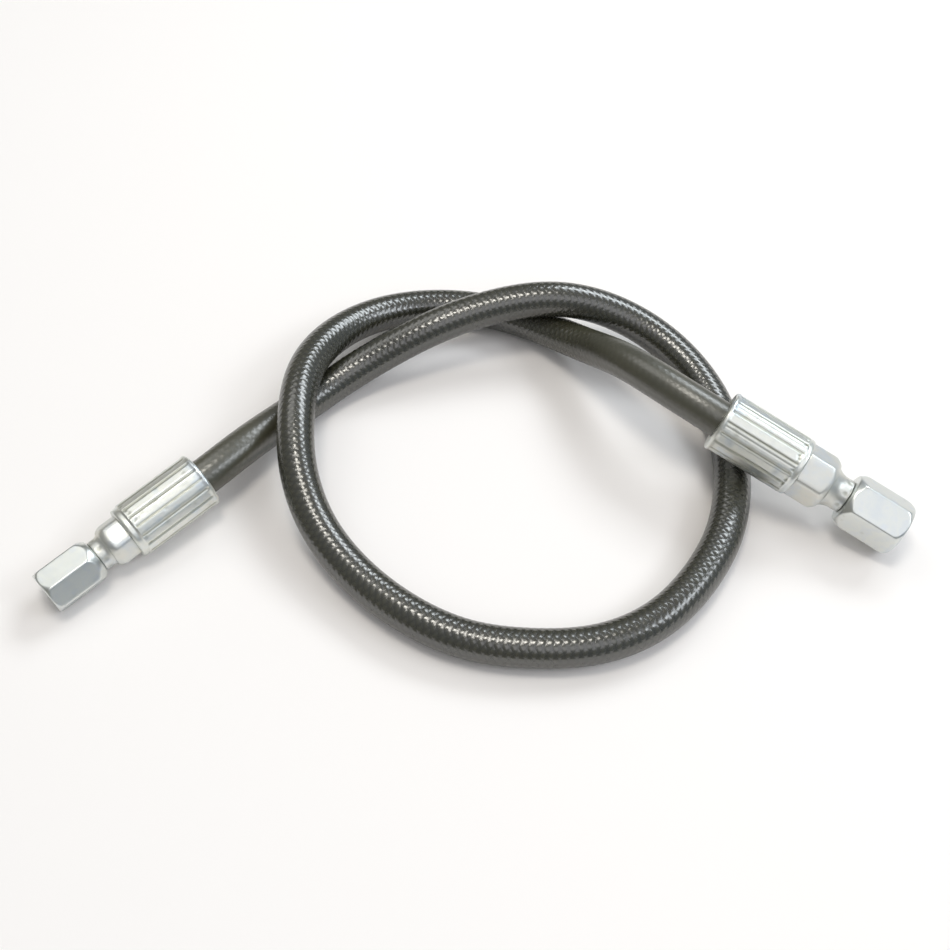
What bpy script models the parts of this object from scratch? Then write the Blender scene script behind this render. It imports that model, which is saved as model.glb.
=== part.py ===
"""Hydraulic hose lying in a loose overhand knot, with a crimped swivel fitting on each end.

Units are metres and +Z is up. The frame's origin is on the floor, under the middle of the box
round the two fittings. Each fitting is built along its own +Z, from the mouth where the hose goes
in to the open end of its nut, and an empty puts it at the end of the hose.
"""

import math
from types import SimpleNamespace

import bmesh
import bpy
import numpy as np
from mathutils import Matrix, Vector

MM = 0.001
INCH = 0.0254

# Hose
HOSE_OD = 14.0 * MM
HOSE_BORE = 6.35 * MM
TUBE_POINTS = 62
TUBE_BEVEL_RESOLUTION = 4

# Route of the hose from mouth A to mouth B, in millimetres: it crosses under itself, then over,
# then under fitting B, and round the loop back over and under.
ROUTE_MM = [
    (-102.4, 13.1, 13.6),
    (-86.8, 30.6, 12.5),
    (-72.3, 48.5, 7.9),
    (-55.3, 64.4, 8.1),
    (-35.6, 75.4, 13.7),
    (-14.6, 83.8, 19.8),
    (7.5, 90.9, 22.6),
    (30.4, 94.0, 23.3),
    (53.3, 91.8, 18.6),
    (73.4, 81.3, 12.9),
    (87.7, 63.7, 8.8),
    (94.9, 41.4, 7.1),
    (95.3, 18.0, 7.2),
    (90.3, -4.7, 7.1),
    (78.9, -25.3, 7.1),
    (62.7, -41.9, 7.1),
    (41.5, -51.6, 7.1),
    (18.2, -53.3, 7.1),
    (-4.9, -49.7, 7.1),
    (-25.9, -39.5, 7.8),
    (-43.9, -24.6, 8.9),
    (-58.2, -6.5, 12.7),
    (-66.3, 14.4, 19.0),
    (-68.3, 37.4, 23.0),
    (-66.2, 60.5, 21.2),
    (-56.6, 81.3, 16.4),
    (-39.7, 96.4, 11.8),
    (-17.8, 103.7, 8.3),
    (5.3, 102.0, 7.1),
    (26.3, 91.9, 8.7),
    (42.9, 76.7, 15.2),
    (55.4, 59.6, 26.1),
    (70.1, 42.4, 31.4),
    (88.6, 28.6, 29.2),
]

# Gaps between touching pieces, and the free play of the swivel
GAP = 0.3 * MM
SWIVEL_PLAY = 0.3 * MM

# Ferrule, shared by both ends
FLUTES = 16
FLUTE_DEPTH = 0.55 * MM
FLUTE_RADIUS = 2.3 * MM
FERRULE_RIM = 2.4 * MM
RIM_ROUND = 1.3 * MM
SHOULDER_ROUND = 1.2 * MM
SOCKET_WALL = 4.0 * MM

# Stem, shared by both ends
LOCK_RADIUS = 5.6 * MM
STEM_BORE = 4.4 * MM
TAIL_START = 3.0 * MM
BARB_COUNT = 5
BARB_DEPTH = 0.35 * MM
HEX_END_INSET = 1.0 * MM
NECK_CONE_SLOPE = 0.54
CONE_ANGLE = math.radians(37)
NOSE_RIM = 2.0 * MM
NOSE_TIP_WALL = 0.8 * MM

# Swivel nut, shared by both ends
NUT_LIP = 3.0 * MM
NUT_REAR_TAPER = math.radians(23)
MOUTH_CHAMFER = 0.9 * MM
PROFILE_STEPS = 36

# Fitting A, on the left: the small swivel
FERRULE_OD_A = 22.0 * MM
FERRULE_LENGTH_A = 30.3 * MM
SHOULDER_STEP_A = 0.8 * MM
SHOULDER_LENGTH_A = 3.3 * MM
STEM_HEX_AF_A = 5 / 8 * INCH
STEM_HEX_LENGTH_A = 8.4 * MM
NECK_OD_A = 11.9 * MM
NECK_CONE_LENGTH_A = 1.2 * MM
NECK_LENGTH_A = 4.5 * MM
NECK_GROOVE_OD_A = 8.4 * MM
THREAD_MINOR_A = 11.4 * MM
THREAD_MAJOR_A = 1 / 2 * INCH
NUT_AF_A = 5 / 8 * INCH
NUT_LENGTH_A = 21.2 * MM
NUT_REAR_RADIUS_A = 6.8 * MM
NUT_FRONT_CHAMFER_A = 1.1 * MM
HEADING_A = math.radians(-137.66)
PITCH_A = math.radians(-4.78)
STEM_TURN_A = math.radians(-16)
NUT_TURN_A = math.radians(1)

# Fitting B, on the right: the large swivel
FERRULE_OD_B = 23.6 * MM
FERRULE_LENGTH_B = 30.7 * MM
SHOULDER_STEP_B = 0.5 * MM
SHOULDER_LENGTH_B = 2.7 * MM
STEM_HEX_AF_B = 3 / 4 * INCH
STEM_HEX_LENGTH_B = 11.8 * MM
NECK_OD_B = 12.8 * MM
NECK_CONE_LENGTH_B = 3.0 * MM
NECK_LENGTH_B = 7.7 * MM
NECK_GROOVE_OD_B = 10.8 * MM
THREAD_MINOR_B = 14.4 * MM
THREAD_MAJOR_B = 5 / 8 * INCH
NUT_AF_B = 3 / 4 * INCH
NUT_LENGTH_B = 22.9 * MM
NUT_REAR_RADIUS_B = 9.0 * MM
NUT_FRONT_CHAMFER_B = 1.6 * MM
HEADING_B = math.radians(-29.37)
PITCH_B = math.radians(-14.44)
STEM_TURN_B = math.radians(31)
NUT_TURN_B = math.radians(26)

FITTING_A = SimpleNamespace(
    side="a", ferrule_radius=FERRULE_OD_A / 2, ferrule_length=FERRULE_LENGTH_A,
    shoulder_length=SHOULDER_LENGTH_A, shoulder_step=SHOULDER_STEP_A,
    hex_af=STEM_HEX_AF_A, hex_length=STEM_HEX_LENGTH_A,
    neck_radius=NECK_OD_A / 2, neck_length=NECK_LENGTH_A,
    cone_length=NECK_CONE_LENGTH_A, groove_radius=NECK_GROOVE_OD_A / 2,
    minor_radius=THREAD_MINOR_A / 2, major_radius=THREAD_MAJOR_A / 2, nut_af=NUT_AF_A,
    nut_length=NUT_LENGTH_A, rear_radius=NUT_REAR_RADIUS_A, front_chamfer=NUT_FRONT_CHAMFER_A,
    heading=HEADING_A, pitch=PITCH_A, stem_turn=STEM_TURN_A, nut_turn=NUT_TURN_A,
)
FITTING_B = SimpleNamespace(
    side="b", ferrule_radius=FERRULE_OD_B / 2, ferrule_length=FERRULE_LENGTH_B,
    shoulder_length=SHOULDER_LENGTH_B, shoulder_step=SHOULDER_STEP_B,
    hex_af=STEM_HEX_AF_B, hex_length=STEM_HEX_LENGTH_B,
    neck_radius=NECK_OD_B / 2, neck_length=NECK_LENGTH_B,
    cone_length=NECK_CONE_LENGTH_B, groove_radius=NECK_GROOVE_OD_B / 2,
    minor_radius=THREAD_MINOR_B / 2, major_radius=THREAD_MAJOR_B / 2, nut_af=NUT_AF_B,
    nut_length=NUT_LENGTH_B, rear_radius=NUT_REAR_RADIUS_B, front_chamfer=NUT_FRONT_CHAMFER_B,
    heading=HEADING_B, pitch=PITCH_B, stem_turn=STEM_TURN_B, nut_turn=NUT_TURN_B,
)

OVERLAP = 1.0 * MM  # how far a cutter passes the face that it cuts


def add_stations(fitting):
    """Work out where each feature lies along the fitting, from the mouth outwards."""
    fitting.shoulder_end = fitting.ferrule_length + fitting.shoulder_length
    fitting.socket_end = fitting.shoulder_end - SOCKET_WALL
    fitting.hose_end = fitting.socket_end - GAP
    fitting.hex_start = fitting.shoulder_end + GAP
    fitting.hex_end = fitting.hex_start + fitting.hex_length
    fitting.nut_rear = fitting.hex_end + fitting.neck_length
    fitting.nut_front = fitting.nut_rear + fitting.nut_length
    fitting.lip_end = fitting.nut_rear + NUT_LIP
    fitting.nose_radius = fitting.minor_radius - 1.5 * SWIVEL_PLAY


def fitting_direction(fitting):
    """Unit vector from the fitting's mouth to its open end."""
    level = math.cos(fitting.pitch)
    return Vector((
        level * math.cos(fitting.heading),
        level * math.sin(fitting.heading),
        math.sin(fitting.pitch),
    ))


def clear_scene():
    for item in list(bpy.data.objects):
        bpy.data.objects.remove(item, do_unlink=True)


def make_collection(name):
    collection = bpy.data.collections.new(name)
    bpy.context.scene.collection.children.link(collection)
    return collection


def make_material(name, colour, roughness, metallic):
    material = bpy.data.materials.new(name)
    material.use_nodes = True
    shader = material.node_tree.nodes["Principled BSDF"]
    shader.inputs["Base Color"].default_value = (*colour, 1.0)
    shader.inputs["Roughness"].default_value = roughness
    shader.inputs["Metallic"].default_value = metallic
    material.diffuse_color = (*colour, 1.0)
    return material


def finish_object(mesh, name, collection, material=None, parent=None, smooth_angle=35.0):
    """Link a mesh as an object, shade it smooth with sharp edges kept, and parent it."""
    mesh.shade_smooth()
    mesh.set_sharp_from_angle(angle=math.radians(smooth_angle))
    item = bpy.data.objects.new(name, mesh)
    collection.objects.link(item)
    if material:
        mesh.materials.append(material)
    if parent:
        item.parent = parent
    return item


def hide_tool(item):
    item.hide_render = True
    item.display_type = "WIRE"
    return item


def turned(name, outline, collection, parent, material=None):
    """Body of revolution about +Z from a closed outline of (radius, z) points.

    The outline runs down its outer side. Where both ends are on the axis the body is solid.
    """
    mesh = bpy.data.meshes.new(name)
    points = [(radius, 0.0, z) for radius, z in outline]
    edges = [(i, i + 1) for i in range(len(points) - 1)]
    if outline[0][0] > 0:
        edges.append((len(points) - 1, 0))
    mesh.from_pydata(points, edges, [])
    item = finish_object(mesh, name, collection, material, parent)
    screw = item.modifiers.new("turn", "SCREW")
    screw.axis = "Z"
    screw.angle = math.tau
    screw.steps = PROFILE_STEPS
    screw.render_steps = PROFILE_STEPS
    screw.use_merge_vertices = True
    screw.merge_threshold = 0.00001
    screw.use_smooth_shade = True
    return item


def cylinder(name, radius, low, high, collection, parent, vertices=PROFILE_STEPS, centre=(0, 0)):
    """Closed cylinder along +Z between two heights."""
    mesh = bpy.data.meshes.new(name)
    body = bmesh.new()
    place = Matrix.Translation((centre[0], centre[1], (low + high) / 2))
    bmesh.ops.create_cone(
        body, cap_ends=True, segments=vertices, radius1=radius, radius2=radius,
        depth=high - low, matrix=place,
    )
    body.to_mesh(mesh)
    body.free()
    return finish_object(mesh, name, collection, None, parent)


def combine(item, tool, operation):
    """Join, cut or trim an object by a tool, with a Boolean modifier."""
    modifier = item.modifiers.new(operation.lower(), "BOOLEAN")
    modifier.operation = operation
    modifier.solver = "EXACT"
    modifier.object = hide_tool(tool)


def round_corner(corner_radius, corner_z, size, steps=3):
    """Outer corner of an outline, rounded: points run down, from above the corner to below it."""
    points = []
    for i in range(steps + 1):
        angle = math.pi / 2 * i / steps
        points.append((
            corner_radius - size + size * math.sin(angle),
            corner_z - size + size * math.cos(angle),
        ))
    return points


def ferrule_outline(fitting):
    """Crimped shell: end wall and shoulder at the top, rounded mouth rim at the bottom."""
    outer = fitting.ferrule_radius
    inner = HOSE_OD / 2 + GAP
    hole = LOCK_RADIUS + GAP
    shoulder = outer - fitting.shoulder_step
    outline = [(hole, fitting.shoulder_end)]
    outline += round_corner(shoulder, fitting.shoulder_end, SHOULDER_ROUND)
    outline.append((shoulder, fitting.ferrule_length + fitting.shoulder_step))
    outline.append((outer, fitting.ferrule_length))
    for radius, z in reversed(round_corner(outer, 0.0, RIM_ROUND)):
        outline.append((radius, -z))
    outline.append((inner, 0.0))
    outline.append((inner, fitting.socket_end))
    outline.append((hole, fitting.socket_end))
    return outline


def make_ferrule(fitting, parts, tools, parent, material):
    """Ferrule with the flutes that the crimping jaws leave along it."""
    ferrule = turned("ferrule_" + fitting.side, ferrule_outline(fitting), parts, parent, material)
    flutes = bmesh.new()
    reach = fitting.ferrule_radius - FLUTE_DEPTH + FLUTE_RADIUS
    top = fitting.ferrule_length + fitting.shoulder_step
    for i in range(FLUTES):
        angle = math.tau * (i + 0.5) / FLUTES
        place = Matrix.Rotation(angle, 4, "Z") @ Matrix.Translation(
            (reach, 0, (FERRULE_RIM + top) / 2)
        )
        bmesh.ops.create_cone(
            flutes, cap_ends=True, segments=16, radius1=FLUTE_RADIUS, radius2=FLUTE_RADIUS,
            depth=top - FERRULE_RIM, matrix=place,
        )
    mesh = bpy.data.meshes.new("flutes_" + fitting.side)
    flutes.to_mesh(mesh)
    flutes.free()
    cutter = finish_object(mesh, "flutes_" + fitting.side, tools, None, parent)
    combine(ferrule, cutter, "DIFFERENCE")
    return ferrule


def hex_prism(name, across_flats, low, high, tools, parent, turn):
    """Hexagonal bar along +Z with a flat facing local +X before it is turned."""
    item = cylinder(name, across_flats / math.sqrt(3), low, high, tools, parent, vertices=6)
    item.rotation_euler = (0, 0, turn)
    return item


def stem_outline(fitting):
    """Solid stem before its bore: nose and cone at the top, barbed tail at the bottom."""
    tip_radius = STEM_BORE / 2 + NOSE_TIP_WALL
    nose_low = fitting.lip_end + GAP
    nose_high = nose_low + NOSE_RIM
    tip = nose_high + (fitting.nose_radius - tip_radius) / math.tan(CONE_ANGLE)
    tail_radius = HOSE_BORE / 2 - GAP
    cone_rise = NECK_CONE_SLOPE * (fitting.cone_length + OVERLAP)
    outline = [
        (0.0, tip),
        (tip_radius, tip),
        (fitting.nose_radius, nose_high),
        (fitting.nose_radius, nose_low),
        (fitting.groove_radius, nose_low),
        (fitting.groove_radius, fitting.nut_rear - GAP),
        (fitting.neck_radius, fitting.nut_rear - GAP),
        (fitting.neck_radius, fitting.hex_end + fitting.cone_length),
        (fitting.neck_radius + cone_rise, fitting.hex_end - OVERLAP),
        (fitting.neck_radius + cone_rise, fitting.hex_start + OVERLAP),
        (LOCK_RADIUS, fitting.hex_start + OVERLAP),
        (LOCK_RADIUS, fitting.socket_end),
        (tail_radius, fitting.socket_end),
    ]
    pitch = (fitting.hose_end - TAIL_START) / BARB_COUNT
    for i in range(BARB_COUNT):
        high = fitting.hose_end - i * pitch
        outline.append((tail_radius, high - pitch / 2))
        outline.append((tail_radius - BARB_DEPTH, high - pitch))
    outline.append((0.0, TAIL_START))
    return outline


def hex_envelope(across_flats, low, high, low_radius, low_taper, high_chamfer):
    """Turned shape that trims a hexagonal bar, which leaves arcs on its flats."""
    corner = across_flats / math.sqrt(3) + OVERLAP
    low_run = (corner - low_radius) / math.tan(low_taper)
    high_radius = across_flats / math.sqrt(3) - high_chamfer
    high_run = (corner - high_radius) / math.tan(math.radians(40))
    return [
        (0.0, high),
        (high_radius, high),
        (corner, high - high_run),
        (corner, low + low_run),
        (low_radius, low),
        (0.0, low),
    ]


def make_stem(fitting, parts, tools, parent, material):
    """Stem: barbed tail, hexagon, neck and flared nose, bored through."""
    side = fitting.side
    stem = turned("stem_" + side, stem_outline(fitting), parts, parent, material)
    bar = hex_prism(
        "stem_hex_" + side, fitting.hex_af, fitting.hex_start - OVERLAP,
        fitting.hex_end + OVERLAP, tools, parent, fitting.stem_turn,
    )
    trim = turned(
        "stem_hex_trim_" + side,
        hex_envelope(
            fitting.hex_af, fitting.hex_start, fitting.hex_end, fitting.hex_af / 2 - HEX_END_INSET / 4,
            math.radians(35), 2 * HEX_END_INSET,
        ),
        tools, parent,
    )
    combine(bar, trim, "INTERSECT")
    combine(stem, bar, "UNION")
    bore = cylinder(
        "stem_bore_" + side, STEM_BORE / 2, TAIL_START - OVERLAP, fitting.nut_front, tools, parent,
    )
    combine(stem, bore, "DIFFERENCE")
    return stem


def nut_cavity_outline(fitting):
    """Inside of the nut: chamfered mouth, thread at its minor diameter, and the bore of the lip."""
    lip_radius = fitting.groove_radius + SWIVEL_PLAY
    return [
        (0.0, fitting.nut_front + OVERLAP),
        (fitting.major_radius + MOUTH_CHAMFER / 4 + OVERLAP, fitting.nut_front + OVERLAP),
        (fitting.minor_radius, fitting.nut_front - MOUTH_CHAMFER),
        (fitting.minor_radius, fitting.lip_end),
        (lip_radius, fitting.lip_end),
        (lip_radius, fitting.nut_rear - OVERLAP),
        (0.0, fitting.nut_rear - OVERLAP),
    ]


def make_nut(fitting, parts, tools, parent, material):
    """Swivel nut: hexagonal bar with a tapered rear, held behind the nose by its inner lip."""
    side = fitting.side
    nut = hex_prism(
        "swivel_nut_" + side, fitting.nut_af, fitting.nut_rear - OVERLAP,
        fitting.nut_front + OVERLAP, parts, parent, fitting.nut_turn,
    )
    nut.data.materials.append(material)
    trim = turned(
        "nut_trim_" + side,
        hex_envelope(
            fitting.nut_af, fitting.nut_rear, fitting.nut_front, fitting.rear_radius,
            NUT_REAR_TAPER, fitting.front_chamfer,
        ),
        tools, parent,
    )
    combine(nut, trim, "INTERSECT")
    cavity = turned("nut_cavity_" + side, nut_cavity_outline(fitting), tools, parent)
    combine(nut, cavity, "DIFFERENCE")
    return nut


def place_fitting(fitting, mouth, collection):
    """Empty at the fitting's mouth: local +Z runs outwards and local +X is its upper side."""
    outwards = fitting_direction(fitting)
    upper = (Vector((0, 0, 1)) - outwards * outwards.z).normalized()
    across = outwards.cross(upper)
    empty = bpy.data.objects.new("place_" + fitting.side, None)
    collection.objects.link(empty)
    turn = Matrix((upper, across, outwards)).transposed().to_4x4()
    empty.matrix_world = Matrix.Translation(mouth) @ turn
    return empty


def smooth_route(points, start_direction, end_direction, count):
    """Evenly spaced points on the clamped cubic spline through the route's own points."""
    places = np.array([tuple(point) for point in points])
    steps = np.linalg.norm(np.diff(places, axis=0), axis=1)
    size = len(places)
    system = np.zeros((size, size))
    right = np.zeros((size, 3))
    system[0, 0] = system[-1, -1] = 1.0
    right[0] = start_direction
    right[-1] = end_direction
    for i in range(1, size - 1):
        before, after = steps[i - 1], steps[i]
        system[i, i - 1:i + 2] = (after, 2 * (before + after), before)
        right[i] = 3 * (
            after / before * (places[i] - places[i - 1])
            + before / after * (places[i + 1] - places[i])
        )
    slopes = np.linalg.solve(system, right)
    fine = []
    for i in range(size - 1):
        for t in np.linspace(0.0, 1.0, 40, endpoint=False):
            fine.append(
                (2 * t**3 - 3 * t**2 + 1) * places[i] + (3 * t**2 - 2 * t**3) * places[i + 1]
                + steps[i] * ((t**3 - 2 * t**2 + t) * slopes[i] + (t**3 - t**2) * slopes[i + 1])
            )
    fine.append(places[-1])
    fine = np.array(fine)
    along = np.concatenate(([0.0], np.cumsum(np.linalg.norm(np.diff(fine, axis=0), axis=1))))
    even = np.linspace(0.0, along[-1], count)
    return [Vector([np.interp(s, along, fine[:, k]) for k in range(3)]) for s in even]


def hose_path():
    """Centre line of the whole hose, with its straight ends inside the ferrules."""
    mouth_a, mouth_b = Vector(ROUTE_MM[0]) * MM, Vector(ROUTE_MM[-1]) * MM
    out_a, out_b = fitting_direction(FITTING_A), fitting_direction(FITTING_B)
    route = [Vector(point) * MM for point in ROUTE_MM]
    middle = smooth_route(route, -out_a, out_b, TUBE_POINTS)
    start = mouth_a + out_a * FITTING_A.hose_end
    end = mouth_b + out_b * FITTING_B.hose_end
    return [start] + middle + [end]


def make_hose(parts, material):
    """Hose: an open tube along the route, thickened inwards to its bore."""
    path = hose_path()
    curve = bpy.data.curves.new("hose_line", "CURVE")
    curve.dimensions = "3D"
    curve.bevel_depth = HOSE_OD / 2
    curve.bevel_resolution = TUBE_BEVEL_RESOLUTION
    curve.use_fill_caps = False
    spline = curve.splines.new("POLY")
    spline.points.add(len(path) - 1)
    for point, place in zip(spline.points, path):
        point.co = (*place, 1.0)
    line = bpy.data.objects.new("hose_line", curve)
    bpy.context.scene.collection.objects.link(line)
    depsgraph = bpy.context.evaluated_depsgraph_get()
    mesh = bpy.data.meshes.new_from_object(line.evaluated_get(depsgraph))
    mesh.name = "hose"
    mesh.materials.clear()
    bpy.data.objects.remove(line)
    hose = finish_object(mesh, "hose", parts, material, smooth_angle=60.0)
    wall = hose.modifiers.new("wall", "SOLIDIFY")
    wall.thickness = (HOSE_OD - HOSE_BORE) / 2
    wall.offset = -1.0
    wall.use_even_offset = True
    return hose


def main():
    clear_scene()
    parts = make_collection("hydraulic_hose")
    tools = make_collection("cutters")
    rubber = make_material("hose_rubber", (0.035, 0.033, 0.030), 0.42, 0.0)
    ferrule_zinc = make_material("ferrule_zinc", (0.78, 0.79, 0.77), 0.32, 1.0)
    stem_zinc = make_material("stem_zinc", (0.80, 0.81, 0.80), 0.28, 1.0)
    nut_zinc = make_material("nut_zinc", (0.82, 0.83, 0.83), 0.22, 1.0)
    for fitting in (FITTING_A, FITTING_B):
        add_stations(fitting)
    make_hose(parts, rubber)
    mouths = (Vector(ROUTE_MM[0]) * MM, Vector(ROUTE_MM[-1]) * MM)
    for fitting, mouth in zip((FITTING_A, FITTING_B), mouths):
        place = place_fitting(fitting, mouth, parts)
        make_ferrule(fitting, parts, tools, place, ferrule_zinc)
        make_stem(fitting, parts, tools, place, stem_zinc)
        make_nut(fitting, parts, tools, place, nut_zinc)


main()
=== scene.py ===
"""Looks of the hydraulic hose: a knotted braided hose with a crimped swivel fitting on each end."""

import math
from types import SimpleNamespace

import bmesh
import bpy
import numpy as np
from mathutils import Matrix, Vector


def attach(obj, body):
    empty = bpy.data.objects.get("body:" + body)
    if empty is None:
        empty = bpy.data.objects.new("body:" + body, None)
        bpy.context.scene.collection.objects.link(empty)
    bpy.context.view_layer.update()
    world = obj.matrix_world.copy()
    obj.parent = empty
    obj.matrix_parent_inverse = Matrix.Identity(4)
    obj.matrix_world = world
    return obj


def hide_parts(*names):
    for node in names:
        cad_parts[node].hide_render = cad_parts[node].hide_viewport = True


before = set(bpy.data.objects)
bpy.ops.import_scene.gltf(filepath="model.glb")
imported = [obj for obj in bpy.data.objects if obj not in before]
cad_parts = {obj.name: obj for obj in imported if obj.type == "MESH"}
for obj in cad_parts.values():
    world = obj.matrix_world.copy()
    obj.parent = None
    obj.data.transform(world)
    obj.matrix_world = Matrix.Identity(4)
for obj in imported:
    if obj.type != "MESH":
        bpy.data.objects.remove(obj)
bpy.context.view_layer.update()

MM = 0.001
INCH = 0.0254

# ---- sizes shared with the part ----

HOSE_OD = 14.0 * MM
ROUTE = [
    (-0.1024, 0.0131, 0.0136),
    (-0.0868, 0.0306, 0.0125),
    (-0.0723, 0.0485, 0.0079),
    (-0.0553, 0.0644, 0.0081),
    (-0.0356, 0.0754, 0.0137),
    (-0.0146, 0.0838, 0.0198),
    (0.0075, 0.0909, 0.0226),
    (0.0304, 0.0940, 0.0233),
    (0.0533, 0.0918, 0.0186),
    (0.0734, 0.0813, 0.0129),
    (0.0877, 0.0637, 0.0088),
    (0.0949, 0.0414, 0.0071),
    (0.0953, 0.0180, 0.0072),
    (0.0903, -0.0047, 0.0071),
    (0.0789, -0.0253, 0.0071),
    (0.0627, -0.0419, 0.0071),
    (0.0415, -0.0516, 0.0071),
    (0.0182, -0.0533, 0.0071),
    (-0.0049, -0.0497, 0.0071),
    (-0.0259, -0.0395, 0.0078),
    (-0.0439, -0.0246, 0.0089),
    (-0.0582, -0.0065, 0.0127),
    (-0.0663, 0.0144, 0.0190),
    (-0.0683, 0.0374, 0.0230),
    (-0.0662, 0.0605, 0.0212),
    (-0.0566, 0.0813, 0.0164),
    (-0.0397, 0.0964, 0.0118),
    (-0.0178, 0.1037, 0.0083),
    (0.0053, 0.1020, 0.0071),
    (0.0263, 0.0919, 0.0087),
    (0.0429, 0.0767, 0.0152),
    (0.0554, 0.0596, 0.0261),
    (0.0701, 0.0424, 0.0314),
    (0.0886, 0.0286, 0.0292),
]
INSIDE_FERRULE = 12.0 * MM  # how far the hose's skin runs on inside each ferrule

HOSE_GAP = 0.15 * MM  # between the hose and its ferrule's mouth
LOCK_RADIUS = 5.6 * MM  # of the stem's collar, which locks it into the ferrule
LOCK_GAP = 0.3 * MM
HEX_GAP = 0.3 * MM  # between the ferrule's shoulder and the stem's hexagon
STEM_BORE = 4.4 * MM
STEM_REACH = 6.0 * MM  # how far the stem runs back past the ferrule's socket
SWIVEL_PLAY = 0.3 * MM
NUT_LIP = 3.0 * MM
NOSE_RIM = 2.0 * MM
NOSE_TIP_WALL = 0.8 * MM
CONE_ANGLE = math.radians(37)
SOCKET_WALL = 4.0 * MM
FLUTES = 16

FITTING_A = SimpleNamespace(
    side="a", body="nut_a", heading=math.radians(-137.66), pitch=math.radians(-4.78),
    mouth=Vector(ROUTE[0]), ferrule_radius=11.0 * MM, ferrule_length=30.3 * MM,
    shoulder_length=3.3 * MM, shoulder_step=0.8 * MM, hex_af=5 / 8 * INCH, hex_length=8.4 * MM,
    neck_radius=5.95 * MM, neck_length=4.5 * MM, cone_length=1.2 * MM, groove_radius=4.2 * MM,
    minor_radius=5.7 * MM, major_radius=1 / 4 * INCH, thread_pitch=INCH / 20,
    nut_af=5 / 8 * INCH, nut_length=21.2 * MM, rear_radius=6.8 * MM,
    stem_turn=math.radians(-16), nut_turn=math.radians(1), stem_softness=1.5 * MM,
    round_off=1.2 * MM, seed=3,
)
FITTING_B = SimpleNamespace(
    side="b", body="nut_b", heading=math.radians(-29.37), pitch=math.radians(-14.44),
    mouth=Vector(ROUTE[-1]), ferrule_radius=11.8 * MM, ferrule_length=30.7 * MM,
    shoulder_length=2.7 * MM, shoulder_step=0.5 * MM, hex_af=3 / 4 * INCH, hex_length=11.8 * MM,
    neck_radius=6.4 * MM, neck_length=7.7 * MM, cone_length=3.0 * MM, groove_radius=5.4 * MM,
    minor_radius=7.2 * MM, major_radius=5 / 16 * INCH, thread_pitch=INCH / 18,
    nut_af=3 / 4 * INCH, nut_length=22.9 * MM, rear_radius=9.0 * MM,
    stem_turn=math.radians(31), nut_turn=math.radians(26), stem_softness=0.9 * MM,
    round_off=1.6 * MM, seed=8,
)

# ---- fine detail of the hose ----

BRAID_PITCH = 2.76 * MM  # distance along the hose between neighbouring braid crowns
BRAID_STRANDS = 10  # strands of the braid in each direction
BRAID_DEPTH = 0.055 * MM  # relief in the mesh; the cover's bump sharpens the same pattern
BRAID_BUMP = 0.05 * MM
CROWN_LENGTH_POWER = 0.55  # below 1 makes each crown longer along its strand
CROWN_WIDTH_POWER = 1.5  # above 1 makes each crown narrower across its strand
RINGS_PER_PITCH = 5
HOSE_SIDES = 60
SPLINE_STEPS = 60  # places worked out between two neighbouring points of the route

# The braid shows less towards each fitting: the share of it that is left at the hose's end, and
# the distances from that end between which it grows to its full strength.
FADE_A = SimpleNamespace(left=0.55, start=30 * MM, end=85 * MM)
FADE_B = SimpleNamespace(left=0.50, start=30 * MM, end=140 * MM)

# Painted shade in the braid's valleys and a painted highlight on its crowns.
VALLEY_SHADE_COLOUR = (0.016, 0.0162, 0.010)
CROWN_HIGHLIGHT_COLOUR = (0.042, 0.0415, 0.027)
DULL_COLOUR = (0.078, 0.075, 0.042)  # of the matte cover near the fittings

# ---- fine detail of the fittings ----

COLUMNS_PER_FLUTE = 20
FERRULE_STEP = 0.4 * MM  # longest edge along each outline
STEM_STEP = 0.7 * MM
NUT_STEP = 0.22 * MM
FERRULE_FILLETS = (0.0, 1.6, 0.4, 0.5, 1.4, 0.6, 0.0, 0.0)  # in mm, one for each corner
STEM_FILLETS = (0.3, 0.3, 0.3, 0.2, 0.2, 0.2, 0.5, 1.6, 0.6, 0.5, 0.8, 0.8, 0.5, 0.2, 0.0, 0.0)
NUT_FILLETS = (0.3, 0.7, 1.2, 2.2, 1.2, 0.2, 0.2, 0.3, 0.2)

RIB_FLATNESS = 0.95  # 1 makes the ferrule's section a plain polygon
RIB_DROP = 0.12 * MM  # how far the ribs lie inside the rim
RIB_UNEVENNESS = 0.05 * MM  # how much the ribs differ in height
RIB_TILT = 0.07  # how much each rib leans to one side
CREASE_DEPTH = 0.55 * MM  # creases between the ribs that the crimping dies leave
CREASE_WIDTH = 0.55 * MM
CRIMP_FADE_IN = (0.9 * MM, 2.4 * MM)  # distances from the ferrule's mouth
CRIMP_FADE_OUT = (-0.3 * MM, 0.6 * MM)  # distances past the end of its ribs
EXTRA_CREASES = 9  # finer ones, at random angles
EXTRA_CREASE_SEED = 100
EXTRA_CREASE_WIDTH = 0.35 * MM

HEX_SEAT = 0.05 * MM  # the stem's hexagon overlaps the ferrule's shoulder by this much
HEX_FRONT_INSET, HEX_FRONT_RUN = 2.1 * MM, 2.4 * MM  # bevel towards the neck
HEX_REAR_INSET, HEX_REAR_RUN = 0.4 * MM, 0.5 * MM  # bevel towards the ferrule
CONE_SPREAD = 0.54  # how much the cone to the neck widens over its length
STEM_GAP = 0.12 * MM  # seen between the neck and the nut
NECK_DIMPLES = 8  # small dents in a ring round the neck
DIMPLE_DEPTH = 0.22 * MM
DIMPLE_RADIUS = 0.9 * MM
DIMPLE_SETBACK = 2.0 * MM  # from the nut

NUT_SOFTNESS = 0.45 * MM  # rounding where faces meet
NUT_TAPER = math.radians(32)
MOUTH_MARGIN = 0.2 * MM  # the nut's mouth is wider than its thread by this much
MOUTH_CHAMFER = 0.9 * MM
THREAD_RELIEF = 2.5 * MM  # length of plain bore between the nut's lip and its thread

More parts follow.
